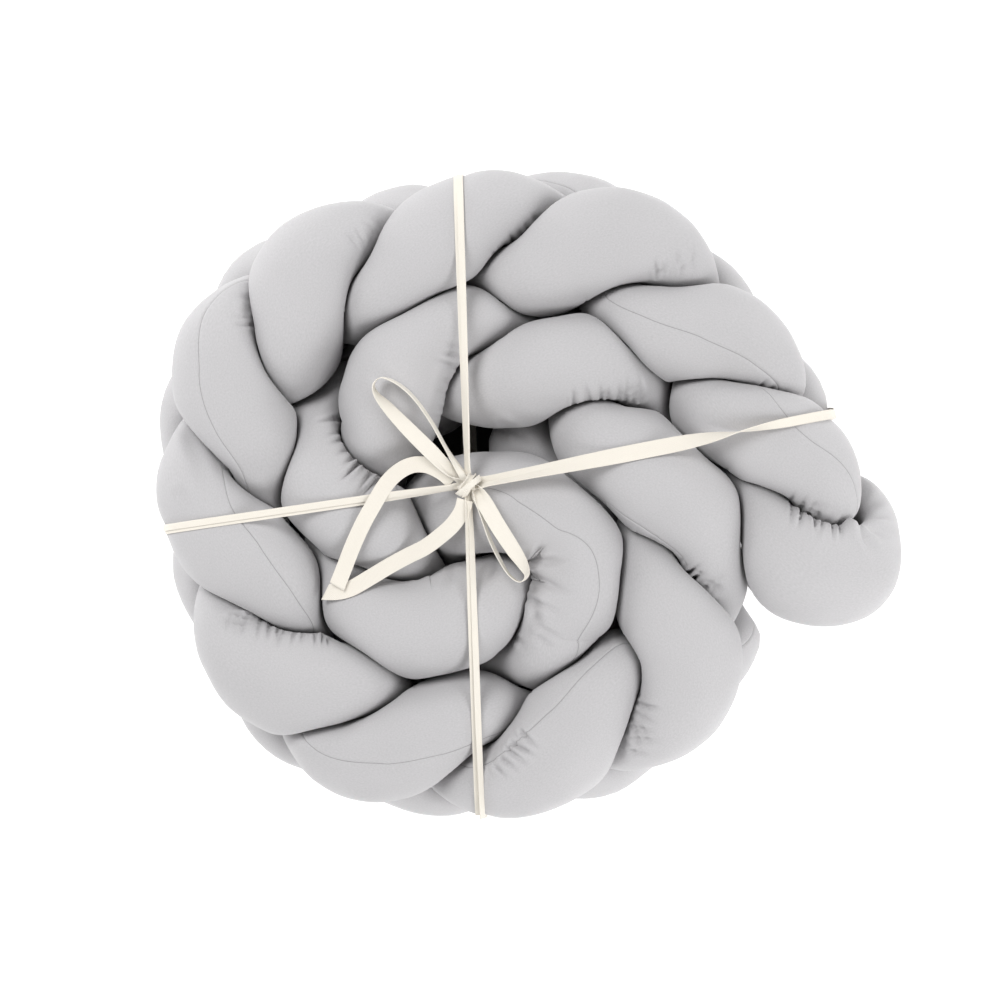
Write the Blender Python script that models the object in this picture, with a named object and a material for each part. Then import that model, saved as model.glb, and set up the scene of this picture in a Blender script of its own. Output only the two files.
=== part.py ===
"""Braided crib bumper: a three-strand braid of stuffed jersey tubes, stood on its edge,
rolled up into a spiral and tied like a parcel with cotton tape.

Each strand is one closed tube.  Its route is a flat braid carried along the spiral, and its
section swells until it meets the floor or the middle plane to the tube beside it, which is
how soft tubes share a crowded space.  The tie is one tape: two taut bands round the roll,
a knot and the two loops of a bow, with two free tails.

Units are metres, +Z up.  The origin is the middle of the footprint, on the floor.
Tables give plan places in centimetres, as a tailor would measure them.
"""

import math

import bpy
import numpy as np
from mathutils import geometry

CM = 0.01
FOOTPRINT_MIDDLE = (-0.02, 0.13)  # x_cm, y_cm of the origin in the tables below

# ---- the braid ----------------------------------------------------------------------
STRAND_COUNT = 3
RISE = 0.045            # how far a strand climbs above and below the braid's middle
FLAT_TOP = 0.08         # how much the top of a hump is flattened
SWAY = 0.023            # how far it moves to the outer and the inner face
LOW_SPREAD = 0.007      # how far the lowest strands bulge outwards
SWAY_SHARPNESS = 0.15   # makes the crossing quicker and the edge hump straighter
MIDDLE_HEIGHT = 0.084   # height of the braid's middle above the floor
TUBE_TALL = 0.044       # radius of a free tube, along the face of the braid
TUBE_THIN = 0.032       # its radius across the braid where two tubes pass side by side
TUBE_EDGE = 0.045       # and where it turns over an edge of the braid alone
TUBE_SAG = 0.004        # extra width of the lower tubes, which carry the upper ones
END_LENGTH = 0.045      # length over which a tube's end is drawn together
SEAM_GAP = 0.0050       # room left between two tubes that press on each other
CREASE = 9.0            # how sharply a free side turns into a pressed one
SELF_REACH = 0.03       # length of tube that does not press on itself
PRESS_REACH = 0.16      # nothing further away than this presses on a tube

# where each hump of the upper edge lies, from the outer end of the roll to its core
HUMPS = (
    # x_cm, y_cm, fullness
    (21.4, -6.0, 1.00),
    (17.8, 4.4, 1.00),
    (12.6, 12.0, 1.00),
    (4.5, 18.6, 1.02),
    (-7.6, 18.1, 1.00),
    (-17.3, 14.8, 1.02),
    (-22.3, 7.2, 1.00),
    (-21.8, -3.9, 1.00),
    (-17.5, -13.9, 1.02),
    (-9.1, -18.4, 0.95),
    (2.6, -17.9, 1.02),
    (11.4, -11.5, 1.02),
    (9.5, 1.2, 1.08),
    (2.5, 10.0, 1.00),
    (-9.8, 9.4, 1.02),
    (-14.9, -0.2, 1.00),
    (-7.0, -9.9, 1.03),
    (3.8, -7.8, 1.00),
    (4.4, -0.4, 1.00),
)

# the run of the humps that each strand follows as a braid, counted along HUMPS
BRAIDED_RUN = (
    # first, last
    (0.10, 16.90),
    (0.10, 17.25),
    (0.25, 16.65),
)

# where a strand runs lower on its way up to a hump
DIPS = (
    # strand, hump count, depth in metres
    (0, 14.42, 0.035),
    (1, 12.35, 0.030),
    (2, 16.25, 0.035),
)
DIP_RUN = 0.35          # half the run of a dip, in humps

# the outer ends: the first strand turns down over the end, the others stop below it
OUTER_LEADS = (
    # x_cm, y_cm, z_cm
    ((24.0, -2.0, 4.0), (24.2, -2.6, 8.0), (23.6, -5.4, 11.2)),
    ((19.0, -6.8, 4.6),),
    ((22.8, -6.3, 4.2),),
)

# the inner ends: the third strand turns back over the core, the others end below it
INNER_LEADS = (
    # x_cm, y_cm, z_cm
    ((1.6, -3.6, 5.0), (-0.6, -2.0, 4.6)),
    ((6.6, -3.2, 5.0), (4.6, 0.6, 6.2), (0.8, 3.4, 7.2), (-3.2, 4.4, 7.0)),
    ((2.1, -9.3, 12.3), (3.6, -6.4, 12.9), (2.5, -2.7, 12.8), (-0.8, -1.0, 12.8),
     (-4.5, -1.0, 12.2), (-6.7, -1.7, 9.0), (-7.3, -2.6, 5.0)),
)

# ---- the tape -----------------------------------------------------------------------
TAPE_WIDTH = 0.012
TAPE_THICKNESS = 0.0012
TOUCH_GAP = 0.0004      # gap kept between pieces that touch
CORNER_SPACING = 0.001  # least distance between the corners of a band
LOOP_SECTIONS = 48
TAIL_SECTIONS = 26
KNOT_PLACE = (-4.66, 0.74, 17.6)    # x_cm, y_cm, z_cm
KNOT_SIZE = (0.0095, 0.0085, 0.0055)
BAND_HEADINGS = (
    # name, heading of its two arms from the knot, degrees
    ("tape_lengthwise", 91.9, 272.0),
    ("tape_crosswise", 188.3, 11.1),
)
GROOVE_DEPTH = 0.0036   # how deep the lower bands press into the underside
GROOVE_WIDTH = 0.0135
GROOVE_LENGTH = 1.2     # longer than the roll, so that a groove runs out of both sides

# the loops of the bow, out from the knot and back, with the lean of the tape from flat
LOOPS = (
    # x_cm, y_cm, z_cm, lean in degrees
    ((-4.9, 0.9, 17.6, 15), (-6.2, 2.0, 18.4, 20), (-7.6, 3.4, 18.9, 20), (-9.2, 5.0, 19.1, 30),
     (-10.6, 6.5, 19.0, 50), (-11.4, 7.5, 18.8, 75), (-11.5, 8.2, 18.7, 90),
     (-10.9, 8.6, 18.6, 95), (-9.7, 8.1, 18.5, 100), (-8.5, 7.0, 18.4, 100),
     (-7.3, 5.3, 18.2, 100), (-6.3, 3.5, 18.0, 100), (-5.4, 2.0, 17.8, 100),
     (-4.6, 0.8, 17.6, 100)),
    ((-4.5, 0.8, 17.6, 0), (-3.5, -0.5, 18.1, -5), (-2.5, -2.2, 18.4, -10),
     (-1.4, -3.9, 18.3, -25), (-0.6, -5.1, 18.0, -50), (-0.3, -5.9, 17.8, -75),
     (-0.8, -6.4, 17.7, -90), (-1.6, -5.9, 17.7, -95), (-2.4, -4.6, 17.7, -100),
     (-3.1, -3.1, 17.7, -100), (-3.7, -1.4, 17.7, -100), (-4.5, 0.3, 17.6, -100)),
)

# the two free ends of the tape, from the knot to their tips
TAILS = (
    # x_cm, y_cm, z_cm
    ((-5.75, 1.0, 17.74), (-6.6, 1.7, 17.64), (-7.7, 2.2, 17.55), (-8.8, 2.2, 17.52),
     (-9.8, 1.7, 17.56), (-10.7, 0.8, 17.62), (-11.5, -0.5, 17.62), (-12.4, -2.1, 17.48),
     (-13.2, -3.8, 17.10), (-13.8, -5.3, 16.78), (-14.4, -6.8, 16.66)),
    ((-4.87, -0.35, 17.75), (-5.12, -1.2, 17.62), (-5.8, -2.2, 17.50), (-6.8, -3.1, 17.15),
     (-7.9, -3.9, 16.75), (-9.1, -4.5, 16.45), (-10.4, -5.2, 16.38), (-11.9, -6.1, 16.42),
     (-13.3, -6.9, 16.46), (-14.4, -7.2, 16.30), (-15.3, -7.2, 16.05)),
)

# ---- materials ----------------------------------------------------------------------
FABRIC_COLOUR = (0.44, 0.432, 0.44, 1.0)
TAPE_COLOUR = (0.74, 0.70, 0.63, 1.0)


# ---- curves -------------------------------------------------------------------------
def smooth_curve(rows, at):
    """Smooth curve through evenly counted rows, ends run on straight; 'at' counts rows."""
    rows = np.asarray(rows, dtype=float)
    ends = (2 * rows[:1] - rows[1:2], 2 * rows[-1:] - rows[-2:-1])
    rows = np.concatenate([ends[0], rows, ends[1]])
    step = np.clip(np.floor(at).astype(int), 0, len(rows) - 4)
    t = (at - step)[:, None]
    a, b, c, d = (rows[step + i] for i in range(4))
    return 0.5 * (2 * b + (c - a) * t + (2 * a - 5 * b + 4 * c - d) * t ** 2
                  + (3 * b - a - 3 * c + d) * t ** 3)


def unit(vectors):
    return vectors / np.linalg.norm(vectors, axis=-1, keepdims=True)


def from_table(rows):
    """Table rows in centimetres, as metres from the origin; a lean stays in degrees."""
    rows = np.array(rows, dtype=float)
    rows[:, :2] -= FOOTPRINT_MIDDLE
    rows[:, :3] *= CM
    return rows


def spiral_middle(count):
    """Plan place of the braid's middle line at each hump count."""
    return smooth_curve(from_table(HUMPS)[:, :2], count)


def spiral_outward(count):
    """Horizontal direction out of the roll at each hump count."""
    along = unit(spiral_middle(count + 0.05) - spiral_middle(count - 0.05))
    return np.stack([along[:, 1], -along[:, 0]], axis=1)


def strand_rows(strand):
    """Route of a strand: x, y, z, outward x, outward y, edge share, plain share, fullness."""
    first, last = BRAIDED_RUN[strand]
    count = np.linspace(first, last, int(round(4 * (last - first))) + 1)
    phase = 2 * math.pi * (count - strand) / STRAND_COUNT + math.pi / 2
    sway = SWAY * (np.sin(2 * phase) + SWAY_SHARPNESS * np.sin(4 * phase))
    outward = spiral_outward(count)
    climb = (np.sin(phase) + FLAT_TOP * np.sin(3 * phase)) / (1 - FLAT_TOP)
    aside = sway + LOW_SPREAD * np.maximum(-climb, 0)
    plan = spiral_middle(count) + outward * aside[:, None]
    height = MIDDLE_HEIGHT + RISE * climb
    for dipping, place, depth in DIPS:
        height = height - (dipping == strand) * depth * np.exp(-((count - place) / DIP_RUN) ** 2)
    swell = 1 + (smooth_curve(HUMPS, count)[:, 2] - 1) * np.maximum(climb, 0)
    braided = np.column_stack([plan, height, outward, np.sin(phase) ** 4, 0 * count, swell])

    def lead_rows(points, nearest):
        shares = np.array([nearest[3], nearest[4], 1.0, 1.0, 1.0])
        return np.column_stack([from_table(points), np.tile(shares, (len(points), 1))])

    outer = lead_rows(OUTER_LEADS[strand], braided[0])
    inner = lead_rows(INNER_LEADS[strand], braided[-1])
    return np.concatenate([outer, braided, inner])


def measured_route(strand, samples=400):
    """Fine samples of a strand's route and the length of tube up to each."""
    rows = strand_rows(strand)
    at = np.linspace(0, len(rows) - 1, samples)
    values = smooth_curve(rows, at)
    steps = np.linalg.norm(np.diff(values[:, :3], axis=0), axis=1)
    lengths = np.concatenate([[0.0], np.cumsum(steps)])
    return rows, at, values[:, :3], lengths, (TUBE_TALL * values[:, 7]) ** 2


def carried_frames(along, first):
    """Two side directions at each ring, carried along the route without twist."""
    side = np.zeros_like(along)
    for i, direction in enumerate(along):
        first = first - direction * np.dot(first, direction)
        first = first / np.linalg.norm(first)
        side[i] = first
    return side, np.cross(along, side)


# ---- strands ------------------------------------------------------------------------
RING_SPACING = 0.0185
SIDES = 16
END_RINGS = (0.0, 0.003, 0.012, 0.026)  # rings from each end, where the tube closes


def ring_lengths(total):
    """Length of tube at each ring: close together at the ends, even between them."""
    ends = np.array(END_RINGS)
    inner = total - 2 * ends[-1]
    even = np.linspace(0, inner, int(round(inner / RING_SPACING)) + 1) + ends[-1]
    return np.concatenate([ends[:-1], even, total - ends[-2::-1]])


def pressed_radius(place, spokes, length, strand, routes):
    """Distance along each spoke to the plane shared with the nearest tube.

    Two equally full tubes share the plane midway between them; a fuller one pushes it away.
    """
    own = np.interp(length, routes[strand][3], routes[strand][4])
    shares = []
    for other, (_, _, line, lengths, weight) in enumerate(routes):
        limit = np.full(spokes.shape[:2], 1e3)
        for i in range(len(place)):
            away = line - place[i]
            square = np.sum(away * away, axis=1)
            near = square < PRESS_REACH ** 2
            if other == strand:
                near &= np.abs(lengths - length[i]) > SELF_REACH
            if near.any():
                reach = np.maximum(spokes[i] @ away[near].T, 1e-4)
                limit[i] = ((square + own[i] - weight)[near] / (2 * reach)).min(axis=1)
        shares.append(np.maximum(limit - SEAM_GAP / 2, 1e-3))
    return shares


def strand_rings(strand, routes):
    """Points of a strand's surface, as rings by sides by x, y, z."""
    rows, at, _, lengths, _ = routes[strand]
    length = ring_lengths(lengths[-1])
    values = smooth_curve(rows, np.interp(length, lengths, at))
    place = values[:, :3]
    outward = unit(np.column_stack([values[:, 3:5], 0 * length]))
    along = unit(np.gradient(place, length, axis=0))
    first, second = carried_frames(along, np.array([0.0, 0.0, 1.0]))
    turn = np.linspace(0, 2 * math.pi, SIDES, endpoint=False)[None, :, None]
    spokes = first[:, None] * np.cos(turn) + second[:, None] * np.sin(turn)

    edge = np.clip(values[:, 5:6], 0, 1)
    plain = np.clip(values[:, 6:7], 0, 1)
    low = np.clip((MIDDLE_HEIGHT - place[:, 2:3]) / RISE, 0, 1)
    thin = TUBE_THIN + (TUBE_EDGE - TUBE_THIN) * edge + TUBE_SAG * low
    thin = thin + (TUBE_TALL - thin) * plain
    across = np.sum(spokes * outward[:, None], axis=2) ** 2
    free = values[:, 7:8] / np.sqrt(across / thin ** 2 + (1 - across) / TUBE_TALL ** 2)
    from_end = np.minimum(length, lengths[-1] - length)
    closing = 1 - (1 - np.clip(from_end / END_LENGTH, 0, 1)) ** 2
    free = free * np.clip(np.sqrt(closing), 0.04, 1)[:, None]

    total = free ** -CREASE
    for share in pressed_radius(place, spokes, length, strand, routes):
        total = total + share ** -CREASE
    points = place[:, None] + spokes * (total ** (-1 / CREASE))[:, :, None]
    points[:, :, 2] = np.maximum(points[:, :, 2], 0.0)
    return points


# ---- meshes -------------------------------------------------------------------------
def band_faces(rings, sides, closed):
    """Triangles of a skin over rings of points; a closed skin joins its last ring."""
    ring = np.arange(rings if closed else rings - 1)[:, None]
    side = np.arange(sides)[None, :]
    following = (ring + 1) % rings
    a = ring * sides + side
    b = ring * sides + (side + 1) % sides
    c = following * sides + (side + 1) % sides
    d = following * sides + side
    halves = [np.stack([a, b, c], 2), np.stack([a, c, d], 2)]
    return np.concatenate([half.reshape(-1, 3) for half in halves])


def add_skin(name, points, collection, material=None, closed=False):
    """One closed mesh over rings of points, capped at both ends unless it is a loop."""
    rings, sides = points.shape[:2]
    faces = band_faces(rings, sides, closed).tolist()
    if not closed:
        faces.append(list(range(sides))[::-1])
        faces.append(list(range((rings - 1) * sides, rings * sides)))
    mesh = bpy.data.meshes.new(name)
    mesh.from_pydata(points.reshape(-1, 3).tolist(), [], faces)
    mesh.shade_smooth()
    piece = bpy.data.objects.new(name, mesh)
    collection.objects.link(piece)
    if material:
        mesh.materials.append(material)
    return piece


def hide_cutter(piece):
    piece.hide_render = True
    piece.display_type = 'WIRE'


def add_boolean(piece, operand, operation):
    modifier = piece.modifiers.new(operand.name, 'BOOLEAN')
    modifier.operation = operation
    modifier.solver = 'EXACT'
    modifier.use_self = operation == 'UNION'
    modifier.object = operand


# ---- tape ---------------------------------------------------------------------------
def ribbon_points(middle, lateral, normal):
    """Rectangular sections of tape along a line of middle points."""
    half_width = lateral * TAPE_WIDTH / 2
    half_depth = normal * TAPE_THICKNESS / 2
    corners = [half_width + half_depth, half_depth - half_width,
               -half_width - half_depth, half_width - half_depth]
    return middle[:, None] + np.stack(corners, axis=1)


def leaning_tape(rows, samples):
    """Tape along rows of x, y and z, turned from lying flat where a row adds a lean."""
    values = smooth_curve(rows, np.linspace(0, len(rows) - 1, samples))
    middle = values[:, :3]
    along = unit(np.gradient(middle, axis=0))
    level = unit(np.column_stack([-along[:, 1], along[:, 0], 0 * along[:, 0]]))
    above = np.cross(along, level)
    lean = np.radians(values[:, 3:4]) if values.shape[1] > 3 else 0.0
    lateral = level * np.cos(lean) + above * np.sin(lean)
    return ribbon_points(middle, lateral, np.cross(along, lateral))


def knot_place():
    return from_table([KNOT_PLACE])[0]


def arm_direction(heading):
    angle = math.radians(heading)
    return np.array([math.cos(angle), math.sin(angle)])


def strip_section(skins, heading, sign):
    """Where the strands lie under one arm of a band, as distance from the knot and height."""
    direction = arm_direction(heading)
    across = np.array([-direction[1], direction[0]])
    knot = knot_place()[:2]
    half = TAPE_WIDTH / 2 + 0.001
    found = []
    for skin in skins:
        plan = skin[:, :, :2] - knot
        flat = np.stack([plan @ direction, skin[:, :, 2], plan @ across], axis=2)
        inside = flat[(np.abs(flat[:, :, 2]) < half)]
        found.append(inside[:, :2])
        turned = np.roll(flat, -1, axis=1)
        pairs = ((flat, turned), (flat[:-1], flat[1:]), (flat[:-1], turned[1:]))
        for offset in (-half, 0.0, half):
            for start, end in pairs:
                before = start[:, :, 2] - offset
                after = end[:, :, 2] - offset
                crossed = before * after < 0
                share = (before[crossed] / (before[crossed] - after[crossed]))[:, None]
                point = start[crossed] + share * (end[crossed] - start[crossed])
                found.append(point[:, :2])
    points = np.concatenate(found)
    points = points[points[:, 0] > -0.002]
    return points * np.array([sign, 1.0])


def taut_outline(points):
    """Corners of the tightest loop round the points, counter-clockwise, thinned."""
    order = geometry.convex_hull_2d([tuple(point) for point in points])
    corners = points[order]
    kept = [corners[0]]
    for corner in corners[1:]:
        if np.linalg.norm(corner - kept[-1]) > CORNER_SPACING:
            kept.append(corner)
    return np.array(kept)


def offset_outline(corners, distance):
    """The same loop moved outwards by a distance, and each corner's outward direction."""
    edges = np.roll(corners, -1, axis=0) - corners
    outward = unit(np.column_stack([edges[:, 1], -edges[:, 0]]))
    before = np.roll(outward, 1, axis=0)
    bisector = outward + before
    scale = 2 / np.sum(bisector * bisector, axis=1, keepdims=True)
    return corners + bisector * scale * distance, unit(bisector)


def band_rings(headings, section):
    """Sections of a taut band round the roll, above the section of the strands."""
    corners, outward = offset_outline(taut_outline(section), TOUCH_GAP + TAPE_THICKNESS / 2)
    height = np.maximum(corners[:, 1], TAPE_THICKNESS / 2 + TOUCH_GAP / 2)
    first_arm = corners[:, 0] < 0
    directions = np.array([-arm_direction(headings[0]), arm_direction(headings[1])])
    along = np.where(first_arm[:, None], directions[0], directions[1])
    knot = knot_place()[:2]
    middle = np.column_stack([knot + along * corners[:, :1], height])
    lateral = np.column_stack([-along[:, 1], along[:, 0], 0 * height])
    normal = np.column_stack([along * outward[:, :1], outward[:, 1]])
    return ribbon_points(middle, lateral, normal)[::-1]


def adopt_new_piece(name, collection):
    """Name the primitive just added and move it to a collection."""
    piece = bpy.context.object
    piece.name = name
    for owner in list(piece.users_collection):
        owner.objects.unlink(piece)
    collection.objects.link(piece)
    return piece


def add_groove(name, heading, collection):
    """Shallow straight cutter under the roll, where a band presses into the strands."""
    knot = knot_place()
    bpy.ops.mesh.primitive_cube_add(size=1.0, location=(knot[0], knot[1], 0.0))
    cutter = adopt_new_piece(name, collection)
    cutter.dimensions = (GROOVE_LENGTH, GROOVE_WIDTH, 2 * GROOVE_DEPTH)
    cutter.rotation_euler = (0.0, 0.0, math.radians(heading))
    hide_cutter(cutter)
    return cutter


def add_knot(collection):
    """The rounded lump of the knot."""
    bpy.ops.mesh.primitive_uv_sphere_add(segments=12, ring_count=8, radius=1.0)
    piece = adopt_new_piece("knot", collection)
    piece.location = knot_place()
    piece.scale = KNOT_SIZE
    return piece


# ---- materials ----------------------------------------------------------------------
def plain_material(name, colour, roughness):
    material = bpy.data.materials.new(name)
    material.use_nodes = True
    shader = material.node_tree.nodes["Principled BSDF"]
    shader.inputs["Base Color"].default_value = colour
    shader.inputs["Roughness"].default_value = roughness
    shader.inputs["Metallic"].default_value = 0.0
    return material


# ---- assembly -----------------------------------------------------------------------
def clear_scene():
    for piece in list(bpy.data.objects):
        bpy.data.objects.remove(piece)


def new_collection(name):
    collection = bpy.data.collections.new(name)
    bpy.context.scene.collection.children.link(collection)
    return collection


def main():
    clear_scene()
    parts = new_collection("braided_crib_bumper")
    cutters = new_collection("cutters")
    jersey = plain_material("grey_jersey", FABRIC_COLOUR, 0.9)
    cotton = plain_material("cream_tape", TAPE_COLOUR, 0.85)

    routes = [measured_route(strand) for strand in range(STRAND_COUNT)]
    skins = [strand_rings(strand, routes) for strand in range(STRAND_COUNT)]

    bands = {}
    seat = np.array([[0.0, knot_place()[2] - KNOT_SIZE[2] / 2]])
    for name, first, second in BAND_HEADINGS:
        arms = (strip_section(skins, first, -1.0), strip_section(skins, second, 1.0))
        bands[name] = band_rings((first, second), np.concatenate(arms + (seat,)))

    grooves = []
    for name, *headings in BAND_HEADINGS:
        for arm, heading in enumerate(headings):
            grooves.append(add_groove(f"{name}_groove_{arm}", heading, cutters))

    for strand, skin in enumerate(skins):
        piece = add_skin(f"strand_{strand + 1}", skin, parts, jersey)
        for groove in grooves:
            add_boolean(piece, groove, 'DIFFERENCE')

    tie = add_skin("tape_tie", bands["tape_lengthwise"], parts, cotton, closed=True)
    joined = [add_skin("crosswise_band", bands["tape_crosswise"], cutters, closed=True)]
    joined.append(add_knot(cutters))
    for number, rows in enumerate(LOOPS):
        loop = leaning_tape(from_table(rows), LOOP_SECTIONS)
        joined.append(add_skin(f"bow_loop_{number + 1}", loop, cutters))
    for operand in joined:
        hide_cutter(operand)
        add_boolean(tie, operand, 'UNION')

    for number, rows in enumerate(TAILS):
        tail = leaning_tape(from_table(rows), TAIL_SECTIONS)
        add_skin(f"tape_tail_{number + 1}", tail, parts, cotton)


if __name__ == "__main__":
    main()
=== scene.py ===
"""Braided crib bumper, rolled up and tied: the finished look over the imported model.

Three stuffed jersey tubes are plaited, stood on edge and rolled into a spiral, then tied
like a parcel with cotton tape.  Each tube is worked out again from the route of its solid,
with far more rings, and gets its lumps, puckers, sewn seam and folds.  Metres, +Z up.
"""
import math

import bpy
import numpy as np
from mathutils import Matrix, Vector, geometry


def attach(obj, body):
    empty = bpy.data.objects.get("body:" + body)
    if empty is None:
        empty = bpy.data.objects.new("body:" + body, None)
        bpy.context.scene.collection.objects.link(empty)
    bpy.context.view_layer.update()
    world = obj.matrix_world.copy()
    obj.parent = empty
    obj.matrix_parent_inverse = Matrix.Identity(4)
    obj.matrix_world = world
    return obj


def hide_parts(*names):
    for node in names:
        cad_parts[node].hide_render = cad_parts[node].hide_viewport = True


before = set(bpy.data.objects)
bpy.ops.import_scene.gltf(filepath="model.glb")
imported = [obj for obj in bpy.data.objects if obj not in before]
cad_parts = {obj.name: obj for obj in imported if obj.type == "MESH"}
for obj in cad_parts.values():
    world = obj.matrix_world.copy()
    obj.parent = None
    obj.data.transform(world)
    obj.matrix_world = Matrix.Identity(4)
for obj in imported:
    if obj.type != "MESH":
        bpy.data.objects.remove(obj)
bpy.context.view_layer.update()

CM = 0.01
MM = 0.001
FOOTPRINT_MIDDLE = (-0.02, 0.13)  # x_cm, y_cm of the origin in the tables below

# ---- the braid, as in the solids ----
STRAND_COUNT = 3
RISE = 0.045            # how far a strand climbs above and below the braid's middle
FLAT_TOP = 0.08         # how much the top of a hump is flattened
SWAY = 0.023            # how far it moves to the outer and the inner face
SWAY_SHARPNESS = 0.15   # makes the crossing quicker and the edge hump straighter
LOW_SPREAD = 0.007      # how far the lowest strands bulge outwards
MIDDLE_HEIGHT = 0.084   # height of the braid's middle above the floor
TUBE_TALL = 0.044       # radius of a free tube, along the face of the braid
TUBE_THIN = 0.032       # its radius across the braid where two tubes pass side by side
TUBE_EDGE = 0.045       # and where it turns over an edge of the braid alone
TUBE_SAG = 0.004        # extra width of the lower tubes, which carry the upper ones
END_LENGTH = 0.045      # length over which a tube's end is drawn together
CREASE = 9.0            # how sharply a free side turns into a pressed one
SELF_REACH = 0.03       # length of tube that does not press on itself
PRESS_REACH = 0.16      # nothing further away than this presses on a tube
CLOTH_GAP = 0.0008      # room between the cloth of two tubes that press on each other

# where each hump of the upper edge lies, from the outer end of the roll to its core
HUMPS = (
    # x_cm, y_cm, fullness
    (21.4, -6.0, 1.00),
    (17.8, 4.4, 1.00),
    (12.6, 12.0, 1.00),
    (4.5, 18.6, 1.02),
    (-7.6, 18.1, 1.00),
    (-17.3, 14.8, 1.02),
    (-22.3, 7.2, 1.00),
    (-21.8, -3.9, 1.00),
    (-17.5, -13.9, 1.02),
    (-9.1, -18.4, 0.95),
    (2.6, -17.9, 1.02),
    (11.4, -11.5, 1.02),
    (9.5, 1.2, 1.08),
    (2.5, 10.0, 1.00),
    (-9.8, 9.4, 1.02),
    (-14.9, -0.2, 1.00),
    (-7.0, -9.9, 1.03),
    (3.8, -7.8, 1.00),
    (4.4, -0.4, 1.00),
)

# the run of the humps that each strand follows as a braid, counted along HUMPS
BRAIDED_RUN = (
    # first, last
    (0.10, 16.90),
    (0.10, 17.25),
    (0.25, 16.65),
)

# where a strand runs lower on its way up to a hump
DIPS = (
    # strand, hump count, depth in metres
    (0, 14.42, 0.035),
    (1, 12.35, 0.030),
    (2, 16.25, 0.035),
)
DIP_RUN = 0.35          # half the run of a dip, in humps

# the outer ends: the first strand turns down over the end, the others stop below it
OUTER_LEADS = (
    # x_cm, y_cm, z_cm
    ((24.0, -2.0, 4.0), (24.2, -2.6, 8.0), (23.6, -5.4, 11.2)),
    ((19.0, -6.8, 4.6),),
    ((22.8, -6.3, 4.2),),
)

# the inner ends: the third strand turns back over the core, the others end below it
INNER_LEADS = (
    # x_cm, y_cm, z_cm
    ((1.6, -3.6, 5.0), (-0.6, -2.0, 4.6)),
    ((6.6, -3.2, 5.0), (4.6, 0.6, 6.2), (0.8, 3.4, 7.2), (-3.2, 4.4, 7.0)),
    ((2.1, -9.3, 12.3), (3.6, -6.4, 12.9), (2.5, -2.7, 12.8), (-0.8, -1.0, 12.8),
     (-4.5, -1.0, 12.2), (-6.7, -1.7, 9.0), (-7.3, -2.6, 5.0)),
)

# ---- the tape, as in the solids ----
TAPE_WIDTH = 0.012
KNOT_PLACE = (-4.66, 0.74, 17.6)    # x_cm, y_cm, z_cm
BAND_HEADINGS = (
    # name, heading of its two arms from the knot, degrees
    ("tape_lengthwise", 91.9, 272.0),
    ("tape_crosswise", 188.3, 11.1),
)

# the loops of the bow, out from the knot and back
LOOPS = (
    # x_cm, y_cm, z_cm, lean in degrees, fold share
    ((-4.9, 0.9, 17.6, 15, 0.9), (-6.2, 2.0, 18.4, 20, 0.25), (-7.6, 3.4, 18.9, 20, 0),
     (-9.2, 5.0, 19.1, 30, 0), (-10.6, 6.5, 19.0, 50, 0), (-11.4, 7.5, 18.8, 75, 0),
     (-11.5, 8.2, 18.7, 90, 0), (-10.9, 8.6, 18.6, 95, 0), (-9.7, 8.1, 18.5, 100, 0),
     (-8.5, 7.0, 18.4, 100, 0), (-7.3, 5.3, 18.2, 100, 0), (-6.3, 3.5, 18.0, 100, 0),
     (-5.4, 2.0, 17.8, 100, 0.2), (-4.6, 0.8, 17.6, 100, 0.6)),
    ((-4.5, 0.8, 17.6, 0, 0.6), (-3.5, -0.5, 18.1, -5, 0.1), (-2.5, -2.2, 18.4, -10, 0),
     (-1.4, -3.9, 18.3, -25, 0), (-0.6, -5.1, 18.0, -50, 0), (-0.3, -5.9, 17.8, -75, 0),
     (-0.8, -6.4, 17.7, -90, 0), (-1.6, -5.9, 17.7, -95, 0), (-2.4, -4.6, 17.7, -100, 0),
     (-3.1, -3.1, 17.7, -100, 0), (-3.7, -1.4, 17.7, -100, 0), (-4.5, 0.3, 17.6, -100, 0.5)),
)

# the two free ends of the tape, from the knot to their tips
TAILS = (
    # x_cm, y_cm, z_cm
    ((-5.75, 1.0, 17.74), (-6.6, 1.7, 17.64), (-7.7, 2.2, 17.55), (-8.8, 2.2, 17.52),
     (-9.8, 1.7, 17.56), (-10.7, 0.8, 17.62), (-11.5, -0.5, 17.62), (-12.4, -2.1, 17.48),
     (-13.2, -3.8, 17.10), (-13.8, -5.3, 16.78), (-14.4, -6.8, 16.66)),
    ((-4.87, -0.35, 17.75), (-5.12, -1.2, 17.62), (-5.8, -2.2, 17.50), (-6.8, -3.1, 17.15),
     (-7.9, -3.9, 16.75), (-9.1, -4.5, 16.45), (-10.4, -5.2, 16.38), (-11.9, -6.1, 16.42),
     (-13.3, -6.9, 16.46), (-14.4, -7.2, 16.30), (-15.3, -7.2, 16.05)),
)
TAIL_CUTS = (0.15, 0.5)     # how much one edge of each tail's end is ahead of the other

# the turns of tape round the knot, and the knot's heart inside them
KNOT_WRAPS = (
    # heading of its axis, half width, half height, lean in degrees
    (-52, 0.0072, 0.0052, 12),
    (-30, 0.0064, 0.0046, -14),
)
WRAP_FOLD = 0.8             # fold share of those turns
KNOT_HEART = (0.0055, 0.0062, 0.0038)   # half its size along x, y and z
KNOT_LIFT = 0.0012          # height of its middle above KNOT_PLACE
KNOT_SEAT = 0.003           # how far below KNOT_PLACE the bands still run over the knot's seat

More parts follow.
